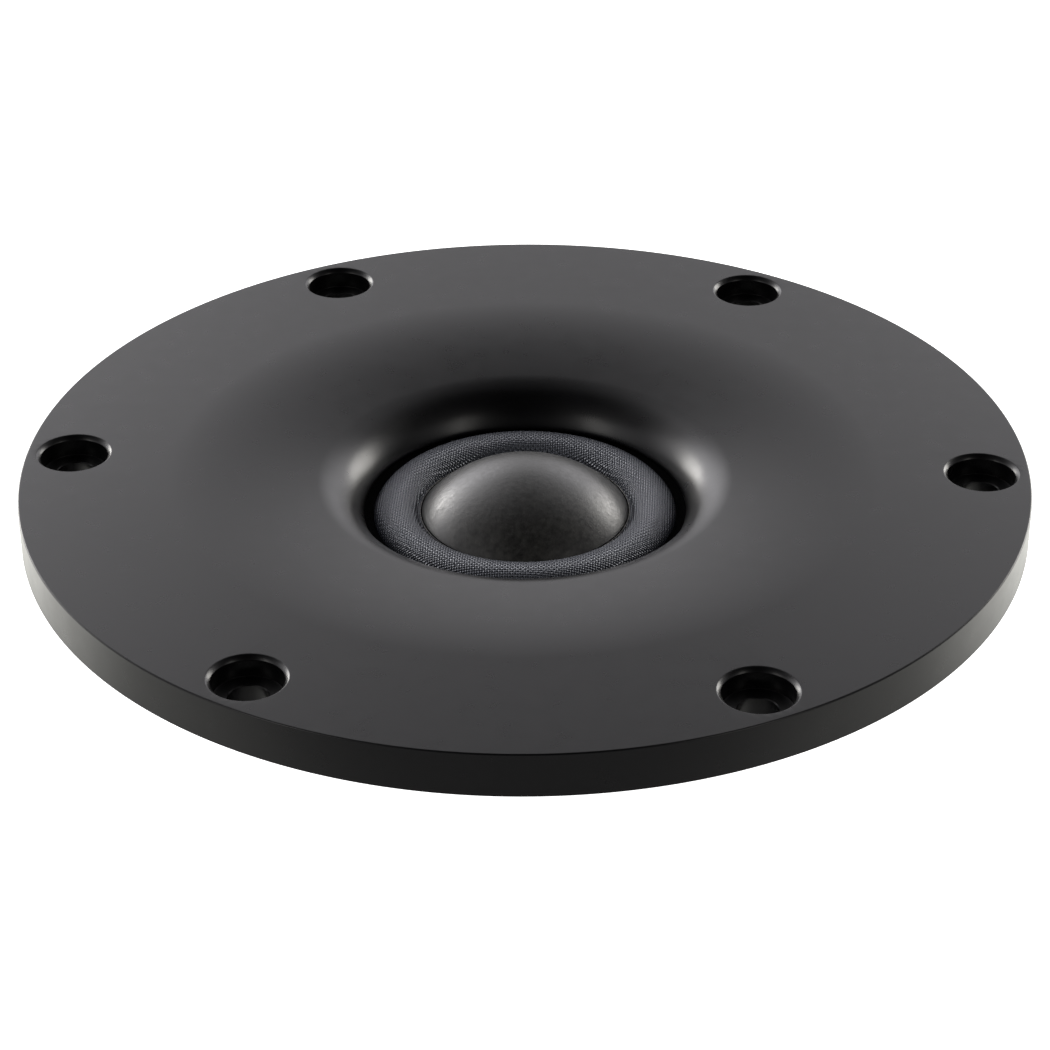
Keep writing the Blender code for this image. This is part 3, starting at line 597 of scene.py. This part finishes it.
def screw_hole_cutter():
    """Softened chamfer, counterbore with a small corner radius, and the hole through the flange."""
    floor = FACE_Z - COUNTERBORE_DEPTH
    chamfer = CHAMFER_RADIUS - COUNTERBORE_RADIUS
    soft = 0.22 * chamfer
    outline = [
        (0.0, FLANGE_BOTTOM - CUTTER_MARGIN),
        (THROUGH_RADIUS + EDGE_RADIUS, FLANGE_BOTTOM - CUTTER_MARGIN),
        (THROUGH_RADIUS + EDGE_RADIUS, FLANGE_BOTTOM),
        (THROUGH_RADIUS, FLANGE_BOTTOM + EDGE_RADIUS),
        (THROUGH_RADIUS, floor - EDGE_RADIUS / 2),
        (THROUGH_RADIUS + EDGE_RADIUS / 2, floor),
        (COUNTERBORE_RADIUS - EDGE_RADIUS, floor),
        (COUNTERBORE_RADIUS - EDGE_RADIUS * 0.3, floor + EDGE_RADIUS * 0.3),
        (COUNTERBORE_RADIUS, floor + EDGE_RADIUS),
        (COUNTERBORE_RADIUS, FACE_Z - chamfer - soft),
        (COUNTERBORE_RADIUS + soft * 0.6, FACE_Z - chamfer + soft * 0.2),
        (CHAMFER_RADIUS - soft * 0.2, FACE_Z - soft * 0.6),
        (CHAMFER_RADIUS + soft, FACE_Z),
        (CHAMFER_RADIUS + soft, FACE_Z + CUTTER_MARGIN),
        (0.0, FACE_Z + CUTTER_MARGIN),
    ]
    angles = [360 * index / HOLE_COUNT for index in range(HOLE_COUNT)]
    places = [polar(HOLE_CIRCLE_RADIUS, angle) for angle in angles]
    return copies("screw_holes", turned("screw_hole", outline, HOLE_STEPS), places)


def lead_channel_cutter():
    """The grooves under the hub through which the leads come out."""
    low = (-1.0 * MM, 18.0 * MM, HUB_BOTTOM - CUTTER_MARGIN)
    high = (1.0 * MM, 31.2 * MM, HUB_BOTTOM + 0.8 * MM)
    return copies("lead_channels", block("lead_channel", low, high), [(-5 * MM, 0), (5 * MM, 0)])


def plug(name, radius, bottom, top):
    return turned(name, [(0.0, bottom), (radius, bottom), (radius, top), (0.0, top)], HOLE_STEPS)


def drill_cutter(name, radius, bottom, top, nodes):
    """A hole round the middle of each node."""
    middles = [sum(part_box(node), Vector()) / 2 for node in nodes]
    return copies(name, plug(name, radius, bottom, top), [(middle.x, middle.y) for middle in middles])


MOTOR_SCREWS = [f"motor_screw_{number}" for number in range(1, 5)]
CUP_SCREWS = [f"cup_screw_{number}" for number in range(1, 5)]


def make_faceplate():
    outline = rounded([
        (PLATE_RADIUS, FACE_Z, EDGE_RADIUS),
        *dish_points(),
        (THROAT_RADIUS, FACE_Z - LIP_DEPTH),
        (RECESS_RADIUS, FACE_Z - LIP_DEPTH),
        (RECESS_RADIUS, HUB_BOTTOM, EDGE_RADIUS / 2),
        (HUB_RADIUS, HUB_BOTTOM, EDGE_RADIUS),
        (HUB_RADIUS, FLANGE_BOTTOM, EDGE_RADIUS),
        (PLATE_RADIUS, FLANGE_BOTTOM, EDGE_RADIUS),
    ])
    plate = new_object("faceplate_metal", turned("faceplate_metal", outline, PLATE_STEPS))
    hole_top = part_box("motor_screw_1")[1].z + HEAD_ROOM
    cut(plate, screw_hole_cutter(), lead_channel_cutter(),
        drill_cutter("motor_hole", MOTOR_HOLE_RADIUS, HUB_BOTTOM - CUTTER_MARGIN, hole_top,
                     MOTOR_SCREWS))
    dress(plate, "frame", ["faceplate"], "black_anodised")


# Diaphragm

DOME_LOW, DOME_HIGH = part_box("dome_cap")
DOME_RADIUS = DOME_HIGH.x
DOME_RISE = 5.5 * MM
FOIL = 0.1 * MM
SKIRT_LIFT = 0.02 * MM          # how far the skirt stops short of the node's box
CLOTH_LOW, CLOTH_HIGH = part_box("surround")
CLOTH_THICKNESS = 0.3 * MM
CLOTH_TOP = CLOTH_LOW.z + CLOTH_THICKNESS
CLOTH_OUTER = CLOTH_HIGH.x
CLOTH_INNER = DOME_RADIUS + 0.02 * MM
ROLL_INNER = 12.9 * MM
ROLL_OUTER = 18.25 * MM
ROLL_HEIGHT = CLOTH_HIGH.z - CLOTH_TOP
WEAVE_DEPTH = 30 * MICRON


def make_dome():
    """A thin spherical cap with a turned-down rim."""
    sphere = (DOME_RADIUS ** 2 + DOME_RISE ** 2) / (2 * DOME_RISE)
    centre = (0.0, DOME_HIGH.z - sphere)
    rim = math.acos(DOME_RADIUS / sphere)
    front = arc(centre, sphere, math.pi / 2, rim, DOME_ARC_STEPS)
    back = arc(centre, sphere - FOIL, rim, math.pi / 2, DOME_ARC_STEPS)
    front[0] = (0.0, front[0][1])
    back[-1] = (0.0, back[-1][1])
    skirt_bottom = DOME_LOW.z + SKIRT_LIFT
    skirt = [(DOME_RADIUS, skirt_bottom), (DOME_RADIUS - FOIL, skirt_bottom)]
    dome = new_object("dome_skin", turned("dome_skin", front + skirt + back, DOME_TURN_STEPS))
    dress(dome, "diaphragm", ["dome_cap"], "dome_metal")


def roll_points(inset, foot_height, steps):
    """The half-roll from its outer foot over the crown to its inner foot."""
    half_width = (ROLL_OUTER - ROLL_INNER) / 2
    radius = (half_width ** 2 + ROLL_HEIGHT ** 2) / (2 * ROLL_HEIGHT)
    centre = ((ROLL_OUTER + ROLL_INNER) / 2, CLOTH_TOP + ROLL_HEIGHT - radius)
    foot = math.asin((foot_height - centre[1]) / (radius - inset))
    return arc(centre, radius - inset, foot, math.pi - foot, steps)


def weave_height(x, y):
    """Height of a plain weave from 0 to 1, with threads along X and Y."""
    wave_x = np.cos(math.pi * x / WEAVE_PITCH)
    wave_y = np.cos(math.pi * y / WEAVE_PITCH)
    lean = np.sign(wave_x * wave_y) * THREAD_SHAPE
    return np.abs(wave_x) ** (1 + lean) * np.abs(wave_y) ** (1 - lean)


def make_surround():
    """The woven half-roll; its front carries the weave."""
    outline = rounded([
        (CLOTH_OUTER, CLOTH_LOW.z),
        (CLOTH_OUTER, CLOTH_TOP),
        *roll_points(0.0, CLOTH_TOP, ROLL_FRONT_STEPS),
        (CLOTH_INNER, CLOTH_TOP),
        (CLOTH_INNER, CLOTH_LOW.z),
        *reversed(roll_points(CLOTH_THICKNESS, CLOTH_LOW.z, ROLL_BACK_STEPS)),
    ])
    cloth = new_object("surround_cloth", turned("surround_cloth", outline, CLOTH_STEPS))
    count = len(cloth.data.vertices)
    points = np.empty(count * 3)
    cloth.data.vertices.foreach_get("co", points)
    points = points.reshape(-1, 3)
    radius = np.hypot(points[:, 0], points[:, 1])
    on_front = (points[:, 2] > CLOTH_TOP - 0.01 * MM) & (radius < ROLL_OUTER + 1 * MM)
    weave = weave_height(points[:, 0], points[:, 1]) - 1.0
    points[:, 2] += np.where(on_front, weave * WEAVE_DEPTH, 0.0)
    cloth.data.vertices.foreach_set("co", points.ravel())
    cloth.data.update()
    dress(cloth, None, ["surround"], "coated_cloth")
    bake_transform(cloth)


BEAD_RADIUS = 0.08 * MM
GROOVE_WIDTH = 0.14 * MM


def make_beads():
    """A dark ring of painted groove shade and a thin bead round the dome, and a dark band of painted
    shadow under the plate's lip.
    """
    # Near-black ring at the dome's rim: painted shade of the groove between dome and roll.
    groove_shade = new_object("painted_dome_groove_shade", turned("painted_dome_groove_shade", [
        (DOME_RADIUS + 0.005 * MM, CLOTH_TOP - 0.02 * MM),
        (DOME_RADIUS + 0.005 * MM, CLOTH_TOP + 0.05 * MM),
        (DOME_RADIUS + GROOVE_WIDTH, CLOTH_TOP + 0.03 * MM),
        (DOME_RADIUS + GROOVE_WIDTH, CLOTH_TOP - 0.02 * MM)], BEAD_TURN_STEPS))
    groove_shade.data.materials.append(painted_gap_shade_finish())
    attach(groove_shade, "diaphragm")
    centre = (DOME_RADIUS + GROOVE_WIDTH + BEAD_RADIUS, CLOTH_TOP + 0.5 * BEAD_RADIUS)
    outline = arc(centre, BEAD_RADIUS, 0.0, 2 * math.pi, 12)[:-1]
    bead = new_object("dome_bead", turned("dome_bead", outline, BEAD_TURN_STEPS))
    bead.data.materials.append(bead_finish())
    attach(bead, "diaphragm")
    # Near-black ring from the roll's outer foot in under the lip: painted shadow of the plate's lip.
    low = CLOTH_TOP + 0.01 * MM
    top = CLOTH_TOP + 0.12 * MM
    band = new_object("painted_lip_shadow", turned("painted_lip_shadow", rounded([
        (ROLL_OUTER - 0.05 * MM, low), (ROLL_OUTER + 3 * MM, low), (ROLL_OUTER + 3 * MM, top),
        (ROLL_OUTER + 0.15 * MM, top, 0.1 * MM)])))
    band.data.materials.append(painted_gap_shade_finish())
    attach(band, "frame")


# Motor and rear cup

TOP_PLATE_BORE = 13.3 * MM      # radii
MAGNET_BORE = 16.0 * MM
GASKET_BORE = 19.2 * MM
CUP_HOLE_RADIUS = 1.2 * MM
BOARD_HOLE_RADIUS = 1.2 * MM
BOARD_HOLE_CAP = 0.8 * MM       # the steel left above the board's screw
WIRE_HOLE_RADIUS = 1.1 * MM
WIRE_HOLES = ((-5 * MM, 29.6 * MM), (5 * MM, 29.6 * MM))


def ring_piece(name, node, inner, fillet, slot_name, cutters=()):
    """A turned ring that fills the node's box, from the inner radius outwards."""
    low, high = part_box(node)
    outline = rounded(ring_corners(inner, high.x, low.z, high.z, fillet))
    piece = new_object(name, turned(name, outline))
    if cutters:
        cut(piece, *cutters)
    return dress(piece, "frame", [node], slot_name)


def cup_hole_cutter():
    low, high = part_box("cup_screw_1")
    return drill_cutter("cup_hole", CUP_HOLE_RADIUS, low.z, high.z + HEAD_ROOM, CUP_SCREWS)


def wire_hole_cutter(bottom, top):
    """The two holes through which the leads pass the board and the top plate."""
    return copies("wire_holes", plug("wire_hole", WIRE_HOLE_RADIUS, bottom, top), WIRE_HOLES)


def make_top_plate():
    low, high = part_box("top_plate")
    reach = (low.z - CUTTER_MARGIN, high.z + CUTTER_MARGIN)
    blind = (low.z - CUTTER_MARGIN, high.z - BOARD_HOLE_CAP)
    cutters = [drill_cutter("motor_hole", MOTOR_HOLE_RADIUS, *reach, MOTOR_SCREWS),
               wire_hole_cutter(*reach),
               drill_cutter("board_hole", BOARD_HOLE_RADIUS, *blind, ["board_screw"])]
    ring_piece("top_plate_steel", "top_plate", TOP_PLATE_BORE, 0.3 * MM, "black_steel", cutters)


def make_yoke():
    """The rear plate and the vented pole, in one piece of steel."""
    low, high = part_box("yoke")
    plate_top = low.z + 3.5 * MM
    pole = 10.9 * MM
    vent = 4.0 * MM
    outline = rounded([
        (vent, low.z, 0.3 * MM), (high.x, low.z, 0.3 * MM), (high.x, plate_top, 0.2 * MM),
        (pole, plate_top, 0.2 * MM), (pole, high.z, 0.15 * MM), (vent, high.z, 0.3 * MM)])
    yoke = cut(new_object("yoke_steel", turned("yoke_steel", outline)), cup_hole_cutter())
    dress(yoke, "frame", ["yoke"], "black_steel")


def make_rear_cup():
    low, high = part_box("rear_cup")
    body = 20.5 * MM
    chamber = 18.9 * MM
    wall = 1.6 * MM
    flange_bottom = high.z - 1.6 * MM
    outline = rounded([
        (0.0, low.z), (body, low.z, 1.6 * MM), (body, flange_bottom, 0.4 * MM),
        (high.x, flange_bottom, EDGE_RADIUS), (high.x, high.z, EDGE_RADIUS),
        (chamber, high.z, EDGE_RADIUS), (chamber, low.z + wall, 0.6 * MM), (0.0, low.z + wall)],
        steps=6)
    cup = cut(new_object("rear_cup_shell", turned("rear_cup_shell", outline)), cup_hole_cutter())
    dress(cup, "frame", ["rear_cup"], "black_anodised")


# Screws

def round_at(radius):
    return lambda angle: radius


def hexagon_at(inscribed):
    side = math.pi / 3
    return lambda angle: inscribed / math.cos(angle % side - side / 2)


def knurl_at(radius):
    """A straight knurl of 24 teeth."""
    return lambda angle: radius * (1 - 0.018 * (1 + math.cos(24 * angle)))


SCREW_SHAPES = {                # height of the head, radius of the shank
    "motor_screw": (3.0 * MM, 1.4 * MM),
    "cup_screw": (1.5 * MM, 0.95 * MM),
    "board_screw": (1.2 * MM, 0.95 * MM),
}


def make_screw(node):
    """A cap screw with a knurled head, a hexagon socket and a threaded shank."""
    low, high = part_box(node)
    middle = (low + high) / 2
    kind = next(name for name in SCREW_SHAPES if node.startswith(name))
    seat, shank = SCREW_SHAPES[kind]
    head = (high.x - low.x) / 2
    soft = 0.12 * head
    socket = 0.5 * head
    top = high.z - low.z
    pitch = 0.36 * shank
    turns = int((top - seat - shank) / pitch)
    sections = [(top, round_at(shank * 0.6)), (top - 0.3 * shank, round_at(shank))]
    for turn in range(turns):
        crest = top - 0.3 * shank - pitch * turn
        sections.append((crest - 0.5 * pitch, round_at(shank * 0.86)))
        sections.append((crest - pitch, round_at(shank)))
    sections += [
        (seat, round_at(shank)),
        (seat, round_at(head - soft / 2)),
        (seat - soft / 2, knurl_at(head)),
        (soft * 1.3, knurl_at(head)),
        (soft * 1.25, round_at(head * 0.99)),
        (soft * 0.5, round_at(head - soft * 0.3)),
        (0.0, round_at(head - soft)),
        (0.0, hexagon_at(socket + soft * 0.3)),
        (soft * 0.4, hexagon_at(socket)),
        (seat * 0.55, hexagon_at(socket)),
        (seat * 0.62, round_at(socket * 0.5)),
    ]
    piece = new_object(node + "_fine", stacked(node + "_fine", sections, SCREW_STEPS))
    piece.location = (middle.x, middle.y, low.z)
    dress(piece, "frame", [node], "zinc_steel")


# Terminals

RIVET_HOLE_RADIUS = 1.0 * MM


def make_board():
    low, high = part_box("terminal_board")
    board = new_object("terminal_board_laminate", block("terminal_board_laminate", low, high))
    bevel = board.modifiers.new("edges", "BEVEL")
    bevel.width = 0.15 * MM
    bevel.segments = 2
    settle(board)
    reach = (low.z - CUTTER_MARGIN, high.z + CUTTER_MARGIN)
    rivets = ["terminal_rivet_positive", "terminal_rivet_negative"]
    cut(board, drill_cutter("rivet_hole", RIVET_HOLE_RADIUS, *reach, rivets),
        drill_cutter("board_hole", BOARD_HOLE_RADIUS, *reach, ["board_screw"]),
        wire_hole_cutter(*reach))
    dress(board, "frame", ["terminal_board"], "brown_board")


def make_tab(polarity):
    """A foot under the board and a blade with a pointed end and a latch hole."""
    node = f"terminal_tab_{polarity}"
    low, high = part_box(node)
    sheet = 0.8 * MM
    point = 0.8 * MM
    point_width = 0.72          # share of the blade's width
    latch_radius = 0.7 * MM
    latch_reach = 2 * MM
    latch_height = 3.0 * MM
    outline = rounded([
        (low.y, high.z, 0.1 * MM), (low.y, high.z - sheet, 0.1 * MM),
        (high.y - sheet, high.z - sheet, 0.3 * MM),
        (high.y - sheet, low.z + point, 0.1 * MM), (high.y - sheet * 0.7, low.z, 0.1 * MM),
        (high.y - sheet * 0.3, low.z, 0.1 * MM), (high.y, low.z + point, 0.1 * MM),
        (high.y, high.z, 0.6 * MM)])
    bm = bmesh.new()
    face = bm.faces.new([bm.verts.new((low.x, y, z)) for y, z in outline])
    extruded = bmesh.ops.extrude_face_region(bm, geom=[face])
    moved = [item for item in extruded["geom"] if isinstance(item, bmesh.types.BMVert)]
    bmesh.ops.translate(bm, verts=moved, vec=(high.x - low.x, 0.0, 0.0))
    middle = (low.x + high.x) / 2
    for vert in bm.verts:
        if vert.co.z < low.z + 0.5 * point:
            vert.co.x = middle + (vert.co.x - middle) * point_width
    tab = new_object(node + "_blade", finished_mesh(bm, node + "_blade"))
    latch = plug("latch", latch_radius, -latch_reach, latch_reach)
    latch.transform(Quaternion((1, 0, 0), math.pi / 2).to_matrix().to_4x4())
    for vert in latch.vertices:
        vert.co += Vector((middle, high.y, low.z + latch_height))
    rivet = drill_cutter("rivet_hole", RIVET_HOLE_RADIUS, low.z, high.z + CUTTER_MARGIN,
                         [f"terminal_rivet_{polarity}"])
    cut(tab, latch, rivet)
    dress(tab, "frame", [node], "tinned_brass")


def make_rivet(polarity):
    node = f"terminal_rivet_{polarity}"
    low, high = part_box(node)
    middle = (low + high) / 2
    head = (high.x - low.x) / 2
    shank = 0.7 * MM
    crown_height = 0.5 * MM
    crown_steps = 8
    seat = low.z + crown_height
    angles = [math.pi / 2 * step / crown_steps for step in range(crown_steps + 1)]
    crown = [(head * math.sin(a), seat - crown_height * math.cos(a)) for a in angles]
    outline = [*crown, (shank, seat), (shank, high.z - 0.1 * MM), (shank - 0.1 * MM, high.z),
               (0.0, high.z)]
    piece = new_object(node + "_round", turned(node + "_round", outline, RIVET_STEPS))
    piece.location = (middle.x, middle.y, 0.0)
    dress(piece, "frame", [node], "tinned_brass")


KEPT_NODES = {                  # inner pieces that stay as they are, and their finishes
    "coil_former": "former_foil",
    "voice_coil": "copper_wire",
    "coil_lead_left": "copper_wire",
    "coil_lead_right": "copper_wire",
    "diaphragm_ring": "black_plastic",
    "pole_cap": "copper_sheet",
    "pole_felt": "felt",
    "chamber_felt": "wool",
    "terminal_lead_left": "black_sleeve",
    "terminal_lead_right": "red_sleeve",
}


def dress_kept_nodes():
    for node, slot_name in KEPT_NODES.items():
        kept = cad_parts[node]
        kept.data.materials.clear()
        kept.data.materials.append(FINISHES[slot_name])


# Stage

def towards(azimuth, elevation):
    """Unit vector; azimuth in degrees clockwise from the view's far side, seen from above."""
    turn = math.radians(azimuth) - CAMERA_AZIMUTH
    rise = math.radians(elevation)
    return Vector((math.sin(turn) * math.cos(rise), math.cos(turn) * math.cos(rise), math.sin(rise)))


def make_camera():
    camera = new_object("camera", bpy.data.cameras.new("camera"))
    face = Vector((0.0, 0.0, FACE_Z))
    far_side = towards(0, 0)
    camera.location = face - far_side * CAMERA_REACH + Vector((0, 0, CAMERA_HEIGHT))
    aim = face + far_side * CAMERA_AIM - camera.location
    camera.rotation_mode = "QUATERNION"
    camera.rotation_quaternion = aim.to_track_quat("-Z", "Y") @ Quaternion((0, 0, 1), CAMERA_ROLL)
    camera.data.lens = CAMERA_LENS
    camera.data.sensor_width = CAMERA_SENSOR
    camera.data.clip_start = 0.01
    bpy.context.scene.camera = camera


def level_card(name, height):
    """A large level plane whose Y axis runs along the view."""
    bm = bmesh.new()
    bmesh.ops.create_grid(bm, x_segments=1, y_segments=1, size=FLOOR_SIZE / 2)
    card = new_object(name, finished_mesh(bm, name))
    card.location.z = height
    card.rotation_euler.z = CAMERA_AZIMUTH
    material = bpy.data.materials.new(name)
    material.use_nodes = True
    shader = material.node_tree.nodes["Principled BSDF"]
    shader.inputs["Base Color"].default_value = (0.8, 0.8, 0.8, 1.0)
    shader.inputs["Roughness"].default_value = 0.9
    card.data.materials.append(material)
    return card, Nodes(material.node_tree), shader


def make_floor():
    """The white floor that the camera sees."""
    floor, _, shader = level_card("floor", cad_low.z)
    shader.inputs["Emission Color"].default_value = (1.0, 1.0, 1.0, 1.0)
    shader.inputs["Emission Strength"].default_value = FLOOR_WHITE
    floor.visible_glossy = False
    floor.visible_diffuse = False


def make_bounce():
    """The light that comes up from the floor: bright at the back, dim under the camera."""
    bounce, nodes, shader = level_card("floor_bounce", cad_low.z - BOUNCE_DROP)
    place = nodes.node("ShaderNodeTexCoord").outputs["Object"]
    along = nodes.levels(nodes.axes(place)["Y"], -BOUNCE_REACH, BOUNCE_REACH)
    stops = [((reach / BOUNCE_REACH + 1) / 2, level) for reach, level in BOUNCE_BAND]
    nodes.feed(shader.inputs["Emission Color"], nodes.ramp(along, stops, BOUNCE_COLOUR))
    (near, dark), (far, lit) = SHADOW_BAND
    shadow = nodes.levels(nodes.vector("LENGTH", place), near, far, dark, lit)
    nodes.feed(shader.inputs["Emission Strength"], nodes.math("MULTIPLY", shadow, BOUNCE_STRENGTH))
    bounce.visible_camera = False


def make_world():
    """A pale wall that fades to a dark ceiling and is brightest behind; the camera sees white."""
    world = bpy.data.worlds.new("studio")
    bpy.context.scene.world = world
    world.use_nodes = True
    nodes = Nodes(world.node_tree)
    direction = nodes.node("ShaderNodeTexCoord").outputs["Generated"]

    heights = [(math.sin(math.radians(elevation)), level) for elevation, level in SKY_BAND]
    background = nodes.tree.nodes["Background"]
    colour = nodes.ramp(nodes.axes(direction)["Z"], heights, SKY_COLOUR)
    nodes.feed(background.inputs["Color"], colour)

    heading = nodes.vector("NORMALIZE", nodes.vector("MULTIPLY", direction, (1.0, 1.0, 0.0)))
    away = nodes.levels(nodes.vector("DOT_PRODUCT", heading, towards(0, 0)), -1.0, 1.0)
    sides = [((math.cos(math.radians(azimuth)) + 1) / 2, level) for azimuth, level in SKY_SIDES]
    leftward = nodes.vector("DOT_PRODUCT", direction, towards(-90, 0))
    gain = nodes.levels(leftward, -1.0, 1.0, SKY_STRENGTH * (1 - SKY_LEFT_GAIN),
                        SKY_STRENGTH * (1 + SKY_LEFT_GAIN))
    strength = nodes.math("MULTIPLY", nodes.ramp(away, sides), gain)
    nodes.feed(background.inputs["Strength"], strength)

    plain = nodes.node("ShaderNodeBackground")
    plain.inputs["Color"].default_value = (1.0, 1.0, 1.0, 1.0)
    plain.inputs["Strength"].default_value = BACKDROP_WHITE
    chooser = nodes.node("ShaderNodeMixShader")
    nodes.feed(chooser.inputs[0], nodes.node("ShaderNodeLightPath").outputs["Is Camera Ray"])
    nodes.feed(chooser.inputs[1], background.outputs[0])
    nodes.feed(chooser.inputs[2], plain.outputs[0])
    nodes.feed(nodes.tree.nodes["World Output"].inputs["Surface"], chooser.outputs[0])


def make_softbox(name, azimuth, elevation, size, radiance):
    """A lamp that faces the tweeter; radiance is its brightness as reflections see it."""
    lamp = bpy.data.lights.new(name, "AREA")
    lamp.shape = "ELLIPSE"
    lamp.size, lamp.size_y = size
    area = math.pi / 4 * size[0] * size[1]
    lamp.energy = radiance * math.pi * area
    lamp.color = SOFTBOX_COLOUR
    box = new_object(name, lamp)
    direction = towards(azimuth, elevation)
    box.location = direction * SOFTBOX_DISTANCE + Vector((0, 0, FACE_Z))
    box.rotation_mode = "QUATERNION"
    box.rotation_quaternion = direction.to_track_quat("Z", "Y")
    box.visible_camera = False


make_faceplate()
make_dome()
make_surround()
make_beads()
make_top_plate()
ring_piece("magnet_ring_nickel", "magnet_ring", MAGNET_BORE, 0.4 * MM, "nickel")
make_yoke()
make_rear_cup()
ring_piece("cup_gasket_foam", "cup_gasket", GASKET_BORE, 0.1 * MM, "foam_rubber",
           [cup_hole_cutter()])
for screw in (*MOTOR_SCREWS, *CUP_SCREWS, "board_screw"):
    make_screw(screw)
make_board()
for pole in ("positive", "negative"):
    make_tab(pole)
    make_rivet(pole)
dress_kept_nodes()

bpy.context.scene.view_settings.view_transform = "Standard"
make_camera()
make_floor()
make_bounce()
make_world()
for softbox in SOFTBOXES:
    make_softbox(*softbox)
